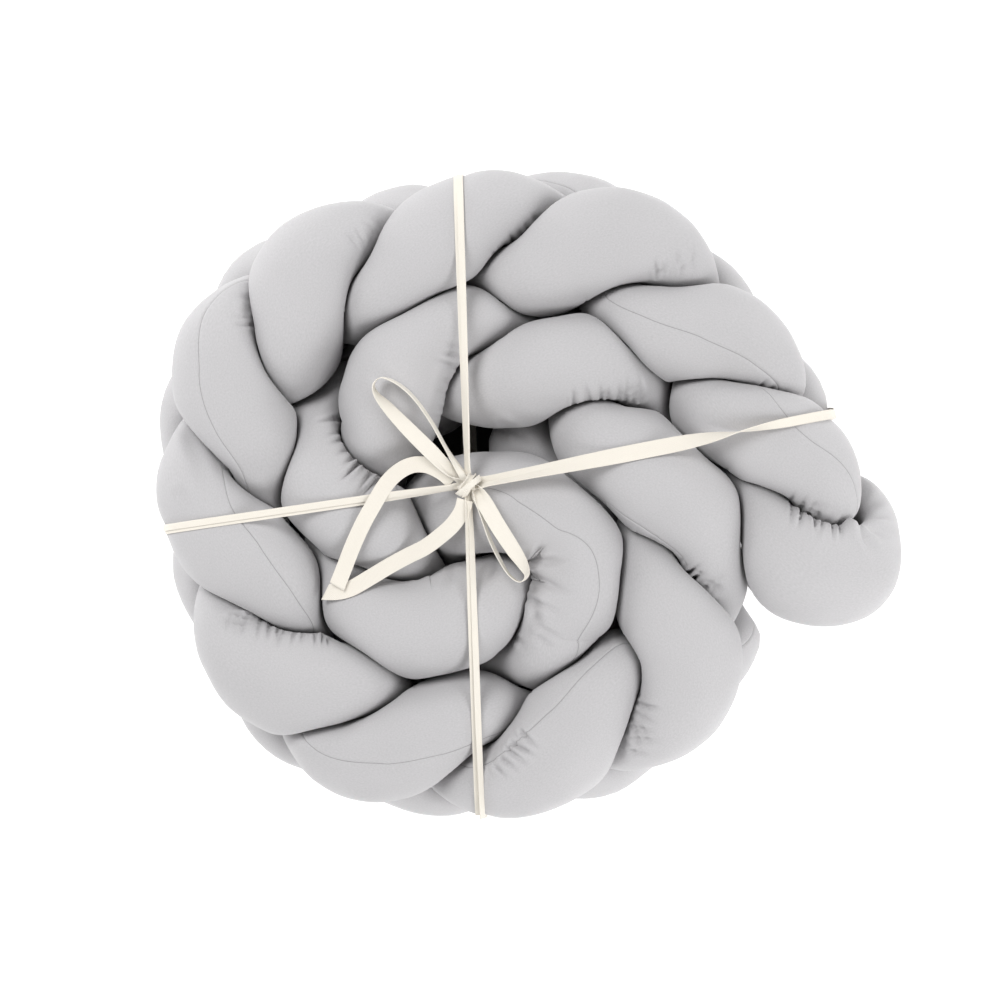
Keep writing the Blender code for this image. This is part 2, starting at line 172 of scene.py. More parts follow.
# ---- how the cloth lies ----
# the sewn seam of each strand, as degrees round it
SEAMS = (
    # hump count, degrees
    ((-0.6, 90), (0.8, 90), (1.7, 77), (4.4, 77), (5.3, 270), (5.6, 279), (5.8, 284),
     (6.0, 294), (8.6, 269), (8.9, 292), (9.3, 311), (12.2, 229), (12.4, 219), (13.6, 150),
     (15.0, 128), (16.5, 110)),
    ((0.6, 64), (0.9, 55), (2.2, 200), (4.0, 220), (4.9, 222), (6.2, 345), (6.6, 354),
     (6.8, 377), (7.1, 384), (7.3, 398), (9.9, 355), (10.2, 363), (10.7, 372), (12.0, 520),
     (13.0, 537), (16.0, 529)),
    ((1.7, -8), (2.0, 6), (2.3, 12), (2.5, 14), (3.0, 20), (4.2, 180), (15.0, 194), (16.2, 110),
     (17.3, 87), (17.4, 62), (17.6, 70), (17.8, 90)),
)

# single folds on top of the strands
FOLDS = (
    # strand, depth_mm, width_mm, from (x_cm, y_cm), to (x_cm, y_cm)
    (2, 3.0, 2.2, (0.30, -4.9), (0.95, -3.3)),
    (2, 3.2, 2.6, (0.30, -4.9), (3.00, -4.8)),
    (2, 3.2, 3.0, (0.10, -6.1), (3.50, -7.6)),
    (2, 2.4, 2.2, (0.10, -7.8), (2.50, -9.0)),
    (2, 3.6, 2.6, (0.30, -8.0), (0.60, -10.8)),
    (2, 2.4, 2.2, (0.60, -10.6), (1.70, -11.8)),
    (2, 2.2, 2.0, (0.70, -9.9), (2.50, -10.8)),
    (2, 2.2, 2.0, (0.20, -9.0), (-0.30, -10.8)),
    (2, 2.0, 1.8, (-1.00, -10.8), (-0.50, -11.7)),
    (1, 2.4, 3.0, (-2.50, -5.2), (-3.80, -6.9)),
    (1, 2.2, 2.6, (-5.80, -5.8), (-6.60, -7.0)),
    (1, 2.2, 3.4, (-25.7, 4.4), (-23.3, -1.0)),
    (1, 1.6, 2.6, (-26.2, 0.2), (-24.5, -1.6)),
    (1, 2.0, 2.4, (-2.10, 5.4), (-2.00, 3.8)),
    (1, 2.4, 2.4, (-1.60, 5.2), (0.60, 3.5)),
    (0, 5.0, 3.4, (24.2, -1.8), (26.0, 1.0)),
    (0, 6.0, 3.4, (24.2, -1.8), (27.8, 0.2)),
    (0, 5.5, 3.4, (24.2, -1.8), (28.4, -1.4)),
    (0, 4.0, 3.4, (24.4, -2.0), (28.2, -3.4)),
    (0, 3.0, 2.8, (24.4, -2.2), (26.2, -5.0)),
)

# rows of short folds, square to a crease and on its left
GATHERS = (
    # strand, folds, length_cm, depth_mm, from (x_cm, y_cm), to (x_cm, y_cm)
    (2, 12, 1.3, 2.2, (-14.4, -10.6), (-23.0, -9.3)),
    (1, 9, 1.1, 2.0, (3.0, 7.2), (8.6, 7.8)),
    (2, 10, 1.2, 1.7, (-6.5, 3.2), (-5.9, 11.4)),
    (0, 5, 2.0, 2.6, (-13.3, 2.4), (-14.2, 6.0)),
    (0, 4, 2.3, 2.9, (-10.6, -0.2), (-13.3, 2.4)),
    (0, 15, 1.2, 1.9, (3.8, -1.2), (14.3, -7.0)),
    (2, 4, 1.1, 1.4, (-13.6, 18.9), (-11.4, 20.8)),
    (0, 4, 1.0, 1.4, (-21.3, 12.4), (-21.5, 15.2)),
    (1, 7, 1.3, 2.0, (-2.7, 17.3), (1.4, 21.4)),
    (0, 5, 0.9, 1.6, (8.8, 16.8), (12.4, 17.7)),
    (2, 5, 1.6, 2.0, (8.8, -15.2), (7.7, -20.0)),
    (1, 5, 1.6, 2.5, (-0.1, -17.7), (-2.5, -20.8)),
    (1, 7, 1.1, 1.7, (19.2, -0.6), (24.2, -1.9)),
    (0, 7, 1.7, 2.5, (23.8, -2.1), (19.2, -1.0)),
    (2, 4, 1.0, 1.4, (17.0, 8.6), (19.6, 6.3)),
)

# how each band lies along the top: turned on edge, and folded in half along its length;
# its first and last rows also hold low on the two sides and under the roll
ARM_TURNS = (
    # distance from the knot in cm, lean in degrees, fold share
    ((-99.0, 0, 0.0), (-24.0, 0, 1.0), (-20.0, 8, 1.0), (-12.0, 25, 1.0), (-3.0, 50, 1.0),
     (-1.0, 60, 1.0), (1.0, -60, 1.0), (4.0, -35, 1.0), (10.0, -15, 1.0), (18.0, 0, 0.9),
     (22.0, 0, 0.8), (99.0, 0, 0.0)),
    ((-99.0, 0, 0.0), (-24.0, 0, 1.0), (-8.0, 8, 1.0), (-3.0, 40, 1.0), (-1.0, 60, 1.0),
     (1.0, -72, 0.4), (5.0, -52, 0.1), (9.0, -25, 0.0), (12.3, -3, 0.0), (15.5, -15, 0.0),
     (18.5, -55, 0.0), (20.5, -95, 0.0), (23.0, -145, 0.6), (25.0, -180, 1.0), (99.0, -180, 0.0)),
)


# ---- curves ----
def smooth_curve(rows, at):
    """Cubic through evenly counted rows: each span leaves a row along the line between
    its two neighbours.  'at' counts rows, and the ends run on straight."""
    rows = np.asarray(rows, dtype=float)
    rows = np.concatenate([2 * rows[:1] - rows[1:2], rows, 2 * rows[-1:] - rows[-2:-1]])
    step = np.clip(np.floor(at).astype(int), 0, len(rows) - 4)
    t = (at - step)[:, None]
    a, b, c, d = (rows[step + i] for i in range(4))
    return 0.5 * (2 * b + (c - a) * t + (2 * a - 5 * b + 4 * c - d) * t ** 2
                  + (3 * b - a - 3 * c + d) * t ** 3)


def smoothed(values, size):
    """Each value becomes a bell-weighted mean of itself and its neighbours, 'size' in all."""
    window = np.hanning(size)
    padded = np.pad(values, size // 2, mode="edge")
    return np.convolve(padded, window / window.sum(), mode="valid")


def unit(vectors):
    """Each vector divided by its own length."""
    return vectors / np.maximum(np.linalg.norm(vectors, axis=-1, keepdims=True), 1e-12)


def soft_step(value, low, high):
    """0 below low, 1 above high, and 3t^2 - 2t^3 of the share t between them."""
    t = np.clip((value - low) / (high - low), 0, 1)
    return t * t * (3 - 2 * t)


def from_table(rows):
    """Table rows in centimetres, as metres from the origin; a lean stays in degrees."""
    rows = np.array(rows, dtype=float)
    rows[:, :2] -= FOOTPRINT_MIDDLE
    rows[:, :3] *= CM
    return rows


def spiral_middle(count):
    """Plan of the braid's middle line: the smooth curve through the humps' places."""
    return smooth_curve(from_table(HUMPS)[:, :2], count)


def spiral_outward(count):
    """Direction across the braid in plan, square to its middle line, away from the core."""
    along = unit(spiral_middle(count + 0.05) - spiral_middle(count - 0.05))
    return np.stack([along[:, 1], -along[:, 0]], axis=1)


def strand_rows(strand):
    """Route of a strand: x, y, z, outward x and y, edge share, plain share, fullness, count.

    On the braid the strand sways by SWAY (sin 2p + SWAY_SHARPNESS sin 4p) across the
    spiral and climbs by RISE (sin p + FLAT_TOP sin 3p), where the phase p turns once in
    three humps.
    """
    first, last = BRAIDED_RUN[strand]
    count = np.linspace(first, last, int(round(4 * (last - first))) + 1)
    phase = 2 * math.pi * (count - strand) / STRAND_COUNT + math.pi / 2
    sway = SWAY * (np.sin(2 * phase) + SWAY_SHARPNESS * np.sin(4 * phase))
    outward = spiral_outward(count)
    climb = (np.sin(phase) + FLAT_TOP * np.sin(3 * phase)) / (1 - FLAT_TOP)
    aside = sway + LOW_SPREAD * np.maximum(-climb, 0)
    plan = spiral_middle(count) + outward * aside[:, None]
    height = MIDDLE_HEIGHT + RISE * climb
    for dipping, place, depth in DIPS:
        dip = depth * np.exp(-((count - place) / DIP_RUN) ** 2)
        height = height - (dipping == strand) * dip
    swell = 1 + (smooth_curve(HUMPS, count)[:, 2] - 1) * np.maximum(climb, 0)
    braided = np.column_stack([plan, height, outward, np.sin(phase) ** 4, 0 * count, swell,
                               count])

    def lead_rows(points, nearest, step):
        points = from_table(points)
        shares = np.tile([nearest[3], nearest[4], 1.0, 1.0, 1.0], (len(points), 1))
        away = np.arange(1, len(points) + 1) * step
        return np.column_stack([points, shares, nearest[8] + (away if step > 0 else away[::-1])])

    outer = lead_rows(OUTER_LEADS[strand], braided[0], -0.25)
    inner = lead_rows(INNER_LEADS[strand], braided[-1], 0.25)
    return np.concatenate([outer, braided, inner])


def measured_route(strand, samples=600):
    """A strand's route rows, and fine samples of it: row number, place, length of tube up
    to each, and square of the tube's radius there."""
    rows = strand_rows(strand)
    at = np.linspace(0, len(rows) - 1, samples)
    values = smooth_curve(rows, at)
    steps = np.linalg.norm(np.diff(values[:, :3], axis=0), axis=1)
    lengths = np.concatenate([[0.0], np.cumsum(steps)])
    return rows, at, values[:, :3], lengths, (TUBE_TALL * values[:, 7]) ** 2


def carried_frames(along, first):
    """Two side directions at each ring, carried along the route without twist."""
    side = np.zeros_like(along)
    for i, direction in enumerate(along):
        first = first - direction * np.dot(first, direction)
        first = first / np.linalg.norm(first)
        side[i] = first
    return side, np.cross(along, side)


# ---- strands ----
SIDES = 80              # points round a tube
RING_BUDGET = 1240      # rings in one strand
LOW_SPACING = 3.0       # a ring below the braid's middle takes this many times the room
LOW_CHANGE = (-0.01, 0.02)  # from and to which depth below the middle that room grows
SEAM_CROWDING = 0.85    # how much closer the points round a tube are at its seam
SEAM_CROWD_RUN = 0.03   # share of a turn over which they spread out again
SEAM_WINDOW = 31        # rings over which the turns of the seam are smoothed
BLOCKS = 25             # goes in which the rings meet the routes, to save memory
NOT_PRESSED = 1e3       # a limit so far out that it never counts
GIRTH = 2 * math.pi * TUBE_TALL
GATHER_ROOT = 0.5       # cm that a gathered fold starts before its crease
GATHER_WIDTH = 1.3      # mm
GATHER_DEPTH = 1.7      # times the depth in the table

# lumps of the filling, and puckers beside the creases
LUMPS = (
    # size, height_mm, seed
    (0.055, 1.1, 11),
    (0.021, 0.25, 21),
)
PUCKER_SIZE = 0.009
PUCKER_HEIGHT = 0.9     # mm
PUCKER_SEED = 31
PUCKER_SLANT = 0.12     # how far they lean along the tube where it is pressed more
INSIDE_BEND = (0.15, 0.6)       # how far on the inner side of a bend they begin and are full

# how far a tube is pressed in, as a share of its free radius, from where to where
FREE_LOST = (0.05, 0.35)        # it loses its lumps and its seam
PUCKERS_GROW = (0.01, 0.10)     # it puckers
PUCKERS_LOST = (0.30, 0.60)     # it is pressed smooth again
PAINTED_SHADE_GROWS = (0.10, 0.52)  # painted shade darkens its crevices


def turns_from_seam():
    """Turn of each column of points from the seam, once round, closest beside the seam.

    The room a column takes is 1 - SEAM_CROWDING exp(-(u / SEAM_CROWD_RUN)^2), u being its
    share of a turn from the seam.
    """
    share = np.linspace(0, 1, 2001)
    from_seam = np.minimum(share, 1 - share)
    room = 1 / (1 - SEAM_CROWDING * np.exp(-(from_seam / SEAM_CROWD_RUN) ** 2))
    total = np.concatenate([[0.0], np.cumsum((room[1:] + room[:-1]) / 2)])
    return 2 * math.pi * np.interp(np.linspace(0, total[-1], SIDES + 1), total, share)


def seam_turn(strand, count):
    """Turn of the seam at each ring: its table, read straight and then smoothed."""
    at, degrees = zip(*SEAMS[strand])
    return smoothed(np.interp(count, at, np.radians(degrees)), SEAM_WINDOW)


def ring_lengths(line, lengths):
    """Length of tube at each ring: closer together where the tube is on top of the braid.

    The room that a ring takes is 1 on top and LOW_SPACING below, and the rings share the
    sum of 1 / room over the length evenly.
    """
    room = 1 + (LOW_SPACING - 1) * soft_step(MIDDLE_HEIGHT - line[:, 2], *LOW_CHANGE)
    share = np.concatenate([[0.0], np.cumsum(np.diff(lengths) * 2 / (room[1:] + room[:-1]))])
    return np.interp(np.linspace(0, share[-1], RING_BUDGET), share, lengths)


def pressed_radius(place, spokes, length, strand, routes):
    """Distance along each spoke to the plane shared with the nearest tube.

    A spoke e meets the plane towards a neighbour's route point q, taken from the ring's
    centre, at r = (|q|^2 + own - weight) / (2 e.q), where own and weight are the squares
    of the two tubes' radii: equally full tubes share the plane midway between them.
    """
    own = np.interp(length, routes[strand][3], routes[strand][4])
    shares = []
    for other, (_, _, line, lengths, weight) in enumerate(routes):
        limits = []
        for block in np.array_split(np.arange(len(place)), BLOCKS):
            away = line[None] - place[block][:, None]
            square = np.sum(away * away, axis=2)
            far = square > PRESS_REACH ** 2
            if other == strand:
                far |= np.abs(lengths[None] - length[block][:, None]) < SELF_REACH
            reach = np.einsum("bsx,bqx->bsq", spokes[block], away)
            pushed = square + own[block][:, None] - weight
            limit = pushed[:, None] / (2 * np.maximum(reach, 1e-4))
            limit = np.where(far[:, None], NOT_PRESSED, limit)
            limits.append(limit.min(axis=2))
        shares.append(np.maximum(np.concatenate(limits) - CLOTH_GAP / 2, 1e-3))
    return shares


def strand_skin(strand, routes):
    """A strand's bare surface and what its cloth needs to know, on rings by sides.

    The free section is an ellipse, TUBE_TALL along the face of the braid and between
    TUBE_THIN and TUBE_EDGE across it.  Its radius r and the limits set by the tubes beside
    it are joined as (sum of 1/r^CREASE)^(-1/CREASE).
    """
    rows, at, line, lengths, _ = routes[strand]
    length = ring_lengths(line, lengths)
    values = smooth_curve(rows, np.interp(length, lengths, at))
    place = values[:, :3]
    outward = unit(np.column_stack([values[:, 3:5], 0 * length]))
    along = unit(np.gradient(place, length, axis=0))
    first, second = carried_frames(along, np.array([0.0, 0.0, 1.0]))
    turn = (seam_turn(strand, values[:, 8])[:, None] + turns_from_seam()[None, :-1])[:, :, None]
    spokes = first[:, None] * np.cos(turn) + second[:, None] * np.sin(turn)

    edge = np.clip(values[:, 5:6], 0, 1)
    plain = np.clip(values[:, 6:7], 0, 1)
    low = np.clip((MIDDLE_HEIGHT - place[:, 2:3]) / RISE, 0, 1)
    thin = TUBE_THIN + (TUBE_EDGE - TUBE_THIN) * edge + TUBE_SAG * low
    thin = thin + (TUBE_TALL - thin) * plain
    across = np.sum(spokes * outward[:, None], axis=2) ** 2
    free = values[:, 7:8] / np.sqrt(across / thin ** 2 + (1 - across) / TUBE_TALL ** 2)
    from_end = np.minimum(length, lengths[-1] - length)
    closing = 1 - (1 - np.clip(from_end / END_LENGTH, 0, 1)) ** 2
    free = free * np.clip(np.sqrt(closing), 0.02, 1)[:, None]

    total = free ** -CREASE
    for share in pressed_radius(place, spokes, length, strand, routes):
        total = total + share ** -CREASE
    radius = total ** (-1 / CREASE)
    points = place[:, None] + spokes * radius[:, :, None]
    points[:, :, 2] = np.maximum(points[:, :, 2], 0.0)
    bend = np.gradient(along, length, axis=0)
    return {
        "points": points,
        "length": length,
        "pressed": 1 - radius / free,
        "inside": np.sum(spokes * bend[:, None], axis=2) * TUBE_TALL,
    }


def outward_normals(points):
    """Unit normals of a grid that closes round its sides: the cross product of the steps
    round the section and along the tube."""
    along = np.gradient(points, axis=0)
    around = np.roll(points, -1, axis=1) - np.roll(points, 1, axis=1)
    return unit(np.cross(around, along))


def grid_corners(spans, sides):
    """Ring and side of the four corners of each face of a grid round a tube, in turn."""
    ring = np.arange(spans)[:, None]
    side = np.arange(sides)[None, :]
    return [(ring, side), (ring, side + 1), (ring + 1, side + 1), (ring + 1, side)]


def cloth_places(corners, along, across):
    """Place on the cloth at each corner of each face: lengths along it and across it."""
    places = [np.stack([along[r] + 0 * s, across[s] + 0 * r], axis=2)[:, :, None]
              for r, s in corners]
    return np.concatenate(places, axis=2).reshape(-1, 2)


def end_rings(rings, sides):
    """The two faces that close the ends of a grid round a tube."""
    return [np.arange(sides)[::-1], np.arange((rings - 1) * sides, rings * sides)]


def cloth_piece(name, points, faces, places, material):
    """A smooth piece of cloth, with its places on the cloth as the UV map."""
    mesh = bpy.data.meshes.new(name)
    mesh.from_pydata(points.reshape(-1, 3).tolist(), [], faces)
    layer = mesh.uv_layers.new(name="cloth")
    if places is not None:
        layer.data.foreach_set("uv", places.ravel())
    mesh.shade_smooth()
    mesh.materials.append(material)
    piece = bpy.data.objects.new(name, mesh)
    bpy.context.scene.collection.objects.link(piece)
    return piece


def tube_mesh(name, skin, material):
    """A closed tube over rings of points, its ends capped, with cloth lengths as its UVs."""
    points, length = skin["points"], skin["length"]
    rings, sides = points.shape[:2]
    corners = grid_corners(rings - 1, sides)
    faces = np.stack([r * sides + s % sides for r, s in corners], axis=2).reshape(-1, 4)
    caps = end_rings(rings, sides)
    around = turns_from_seam() * TUBE_TALL
    flat = [np.column_stack([np.full(sides, length[end]), around[cap % sides]])
            for end, cap in zip((0, -1), caps)]
    places = np.concatenate([cloth_places(corners, length, around)] + flat)
    piece = cloth_piece(name, points, faces.tolist() + [cap.tolist() for cap in caps], places,
                        material)
    # the puckers' mask, and the mask of painted shade in the crevices, are stored for the shader
    for key in ("pucker", "painted_crevice_shade"):
        attribute = piece.data.attributes.new(key, "FLOAT", "POINT")
        attribute.data.foreach_set("value", skin[key].astype(np.float32).ravel())
    return piece


def waves(points, size, seed, number=9):
    """Soft lumps: 1.6 times the mean of sine waves in random directions, each 0.8 to 1.5
    times the given size long."""
    chance = np.random.default_rng(seed)
    direction = unit(chance.normal(size=(number, 3)))
    pace = 2 * math.pi / (size * chance.uniform(0.8, 1.5, number))
    phase = chance.uniform(0, 2 * math.pi, number)
    return np.sin(points @ (direction * pace[:, None]).T + phase).mean(axis=-1) * 1.6


def gathered_folds():
    """The single folds, and those of each row of gathers, as table rows of FOLDS.

    The folds of a row start a little before the crease and run square across it.  Their
    lengths are 0.6 to 1.25 and their depths 0.55 to 1.2 of those given, and they slant by
    up to 0.35 of their length.
    """
    chance = np.random.default_rng(5)
    folds = list(FOLDS)
    for strand, number, length, depth, start, end in GATHERS:
        run = np.subtract(end, start)
        aside = np.array([-run[1], run[0]]) / np.linalg.norm(run)
        ahead = run / np.linalg.norm(run)
        uneven = chance.uniform(-0.25, 0.25, number)
        for share in (np.arange(number) + 0.5 + uneven) / number:
            reach = length * chance.uniform(0.6, 1.25)
            root = start + run * share - aside * GATHER_ROOT
            slant = ahead * reach * chance.uniform(-0.35, 0.35)
            tip = root + aside * (reach + GATHER_ROOT) + slant
            deep = depth * GATHER_DEPTH * chance.uniform(0.55, 1.2)
            folds.append((strand, deep, GATHER_WIDTH, tuple(root), tuple(tip)))
    return folds


def fold_depths(strand, points, normals):
    """How far the folds push in the top of a strand.

    A fold is a trough -exp(-(d/w)^2) between two shoulders 0.4 exp(-((d-2.2w)/w)^2), where
    d is the distance from its line and w its width.  It fades from a quarter of its line to
    its tip, and where the cloth turns away from the top.
    """
    raised = np.zeros(points.shape[:2])
    facing = soft_step(normals[:, :, 2], -0.1, 0.35)
    for of_strand, depth, width, start, end in gathered_folds():
        if of_strand != strand:
            continue
        start, end = from_table([(*start, 0.0), (*end, 0.0)])[:, :2]
        run = end - start
        from_start = points[:, :, :2] - start
        share = np.clip(from_start @ run / (run @ run), 0, 1)
        distance = np.linalg.norm(from_start - share[:, :, None] * run, axis=2) / (width * MM)
        trough = -np.exp(-distance ** 2) + 0.4 * np.exp(-(distance - 2.2) ** 2)
        raised += trough * depth * MM * (1 - soft_step(share, 0.25, 1.0))
    return raised * facing


def seam_relief(free):
    """A sewn seam, lost where pressed: with d the distance from it in mm, a groove
    -0.5 exp(-(d/0.6)^2) mm between two puffed edges 0.15 exp(-((d-2.6)/1.5)^2) mm."""
    aside = turns_from_seam()[None, :-1] * TUBE_TALL
    aside = np.minimum(aside, GIRTH - aside)
    groove = -0.5 * MM * np.exp(-(aside / (0.6 * MM)) ** 2)
    return (groove + 0.15 * MM * np.exp(-((aside - 2.6 * MM) / (1.5 * MM)) ** 2)) * free


def dressed_skin(strand, routes):
    """Adds the cloth's lumps, puckers, seam and folds to a strand, along its normals."""
    skin = strand_skin(strand, routes)
    points = skin["points"]
    normals = outward_normals(points)
    pressed = skin["pressed"]
    free = 1 - soft_step(pressed, *FREE_LOST)
    near = soft_step(pressed, *PUCKERS_GROW) * (1 - soft_step(pressed, *PUCKERS_LOST))
    skin["pucker"] = near * soft_step(skin["inside"], *INSIDE_BEND)
    # painted shade: the crevices darken by how hard the tube is pressed there
    skin["painted_crevice_shade"] = soft_step(pressed, *PAINTED_SHADE_GROWS)
    lengthwise = np.stack([skin["length"][:, None] + 0 * pressed, PUCKER_SLANT * pressed,
                           0 * pressed], axis=2)
    puckers = waves(lengthwise, PUCKER_SIZE, PUCKER_SEED + strand)
    raised = sum(waves(points, size, seed + strand) * height * MM
                 for size, height, seed in LUMPS) * free
    raised = raised + puckers * PUCKER_HEIGHT * MM * skin["pucker"]
    raised = raised + seam_relief(free) + fold_depths(strand, points, normals)
    points = points + normals * raised[:, :, None]
    points[:, :, 2] = np.maximum(points[:, :, 2], 0.0)
    skin["points"] = points
    return skin


# ---- tape ----
CLOTH_THICKNESS = 0.0007    # of the tape
TAPE_LIFT = 0.0003      # gap between a band and the strands under it
DENT = 0.0016           # how far a band sinks into the strands
DENT_REACH = 0.009      # how far aside of a band its dent fades
DENT_LIMIT = 1.2        # nothing is pushed further than this many times the dent
FOLD_PLACE = 0.2        # where the tape folds lengthwise, as a share of half its width
FOLD_BEND = 0.14        # half the run of that bend, likewise
LIE_CHANGE = (0.04, 0.12)   # heights between which a band's low lie turns into its lie on top
FAR_OUT = 99.0          # cm from the knot, where ARM_TURNS gives the low lie
BAND_STEP = 0.002       # between the sections of a band
BAND_WINDOW = 15        # sections over which its lie is smoothed
SHORTEST_SIDE = 0.002   # of the loop that a band is drawn along
PAST_KNOT = 0.002       # how far behind the knot an arm's strands still count
CUT_RUN = 0.012         # length of tail that a slanting cut shears
LOOP_RINGS = 120
TAIL_RINGS = 90


def arm_direction(heading):
    """Plan direction of a heading in degrees, counted from +x towards +y."""
    angle = math.radians(heading)
    return np.array([math.cos(angle), math.sin(angle)])


def strip_section(skins, heading, sign):
    """Where the strands lie under one arm of a band: distance from the knot, and height."""
    direction = arm_direction(heading)
    across = np.array([-direction[1], direction[0]])
    knot = from_table([KNOT_PLACE])[0, :2]
    found = []
    for skin in skins:
        points = skin["points"]
        plan = points[:, :, :2] - knot
        aside = np.abs(plan @ across)
        flat = np.stack([plan @ direction, points[:, :, 2]], axis=2)
        found.append(flat[aside < TAPE_WIDTH / 4])
    points = np.concatenate(found)
    points = points[points[:, 0] > -PAST_KNOT]
    return points * np.array([sign, 1.0])


def band_section(skins, headings):
    """Section of the whole roll under a band, with the knot's seat."""
    seat = np.array([[0.0, KNOT_PLACE[2] * CM - KNOT_SEAT]])
    arms = [strip_section(skins, heading, sign) for heading, sign in zip(headings, (-1.0, 1.0))]
    return np.concatenate([*arms, seat])


def taut_outline(points):
    """Corners of the tightest loop round the points, counter-clockwise, thinned."""
    order = geometry.convex_hull_2d([tuple(point) for point in points])
    corners = points[order]
    kept = [corners[0]]
    for corner in corners[1:]:
        if np.linalg.norm(corner - kept[-1]) > SHORTEST_SIDE:
            kept.append(corner)
    return np.array(kept)


def edge_normals(corners):
    """Outward direction of each side of a counter-clockwise loop."""
    edges = np.roll(corners, -1, axis=0) - corners
    return unit(np.column_stack([edges[:, 1], -edges[:, 0]]))


def offset_outline(corners, distance):
    """The same loop moved outwards by a distance, and each corner's outward direction."""
    outward = edge_normals(corners)
    bisector = outward + np.roll(outward, 1, axis=0)
    scale = 2 / np.sum(bisector * bisector, axis=1, keepdims=True)
    return corners + bisector * scale * distance, unit(bisector)


def press_band(skins, headings, section):
    """Sinks the strands under a band: what stands out of its outline, drawn in by
    DENT exp(-(aside / DENT_REACH)^2), goes back square to the nearest side, by no more than
    DENT_LIMIT times that."""
    corners = taut_outline(section)
    outward = edge_normals(corners)
    limits = np.sum(outward * corners, axis=1)
    knot = from_table([KNOT_PLACE])[0, :2]
    for heading, sign in zip(headings, (-1.0, 1.0)):
        direction = arm_direction(heading)
        across = np.array([-direction[1], direction[0]])
        for skin in skins:
            points = skin["points"]
            plan = points[:, :, :2] - knot
            aside = plan @ across
            found = (np.abs(aside) < 3 * DENT_REACH) & (plan @ direction > 0)
            flat = np.column_stack([sign * (plan[found] @ direction), points[found][:, 2]])
            inside = limits[None] - flat @ outward.T
            nearest = np.argmin(inside, axis=1)
            wanted = DENT * np.exp(-(aside[found] / DENT_REACH) ** 2)
            excess = np.clip(wanted - inside[np.arange(len(flat)), nearest], 0,
                             DENT_LIMIT * wanted)
            push = -outward[nearest] * excess[:, None]
            points[found] += np.column_stack([sign * push[:, :1] * direction, push[:, 1]])


def band_line(headings, section, turns):
    """Middle line of a taut band round the roll from below, with its lateral and outward
    directions, and its lean and fold.

    These two are low + (top - low) s, where top is read from the table at the distance from
    the knot, low from its last row on the way up and its first on the way down, and s is the
    soft step of the height over LIE_CHANGE.
    """
    corners, outward = offset_outline(taut_outline(section), TAPE_LIFT + CLOTH_THICKNESS / 2)
    steps = np.linalg.norm(np.roll(corners, -1, axis=0) - corners, axis=1)
    lengths = np.concatenate([[0.0], np.cumsum(steps)])
    at = np.linspace(0, lengths[-1], int(lengths[-1] / BAND_STEP), endpoint=False)
    loop = np.concatenate([corners, corners[:1]])
    normals = np.concatenate([outward, outward[:1]])
    flat = np.stack([np.interp(at, lengths, loop[:, i]) for i in range(2)], axis=1)
    away = unit(np.stack([np.interp(at, lengths, normals[:, i]) for i in range(2)], axis=1))
    lowest = np.argmin(np.abs(flat[:, 0]) + flat[:, 1])
    flat = np.roll(flat, -lowest, axis=0)
    away = np.roll(away, -lowest, axis=0)
    height = np.maximum(flat[:, 1], CLOTH_THICKNESS / 2)
    directions = np.array([-arm_direction(headings[0]), arm_direction(headings[1])])
    along = np.where(flat[:, :1] < 0, directions[0], directions[1])
    middle = np.column_stack([from_table([KNOT_PLACE])[0, :2] + along * flat[:, :1], height])
    lateral = np.column_stack([-along[:, 1], along[:, 0], 0 * height])
    normal = np.column_stack([along * away[:, :1], away[:, 1]])

    turns = np.array(turns, dtype=float)
    side = np.where(np.arange(len(at)) < len(at) / 2, FAR_OUT, -FAR_OUT)
    high = soft_step(height, *LIE_CHANGE)
    on_top, low_down = ([np.interp(far, turns[:, 0], turns[:, i]) for i in (1, 2)]
                        for far in (flat[:, 0] / CM, side))
    lean, fold = (smoothed(low + (top - low) * high, BAND_WINDOW)
                  for top, low in zip(on_top, low_down))
    return middle, lateral, normal, lean, fold


def tape_sections(lean, fold, resting):
    """Outline of the tape's section at each line point, across and up, as rows of points.

    The heading across the tape turns by half a turn times the fold share over the bend at
    FOLD_PLACE; summing it up gives the middle of the cloth, and half the thickness to both
    sides of that its faces.  The whole is turned by the lean.  Resting tape has its lowest
    edge on the line, and free tape its middle.
    """
    bend = FOLD_BEND * np.linspace(-1, 1, 5)
    share = np.concatenate([np.linspace(-1, 1, 9), [-0.95, 0.95], FOLD_PLACE + bend,
                            -FOLD_PLACE - bend])
    share = np.unique(np.round(share, 4))
    lean = np.radians(lean)[:, None]

    def heading(place):
        turned = soft_step(place, FOLD_PLACE - FOLD_BEND, FOLD_PLACE + FOLD_BEND)
        return math.pi * fold[:, None] * turned[None, :] + lean

    between = heading((share[1:] + share[:-1]) / 2)
    steps = np.stack([np.cos(between), np.sin(between)], axis=2) * np.diff(share)[None, :, None]
    centre = np.concatenate([np.zeros((len(fold), 1, 2)), np.cumsum(steps, axis=1)], axis=1)
    centre = centre * TAPE_WIDTH / 2
    at = heading(share)
    side = np.stack([-np.sin(at), np.cos(at)], axis=2) * CLOTH_THICKNESS / 2
    outline = np.concatenate([(centre + side)[:, ::-1], centre - side], axis=1)
    highest = outline.max(axis=1, keepdims=True)
    lowest = outline.min(axis=1, keepdims=True)
    outline = outline - (highest + lowest) / 2
    if resting:
        outline[:, :, 1] -= outline[:, :, 1].min(axis=1, keepdims=True) + CLOTH_THICKNESS / 2
    return outline, np.concatenate([share[::-1], share])


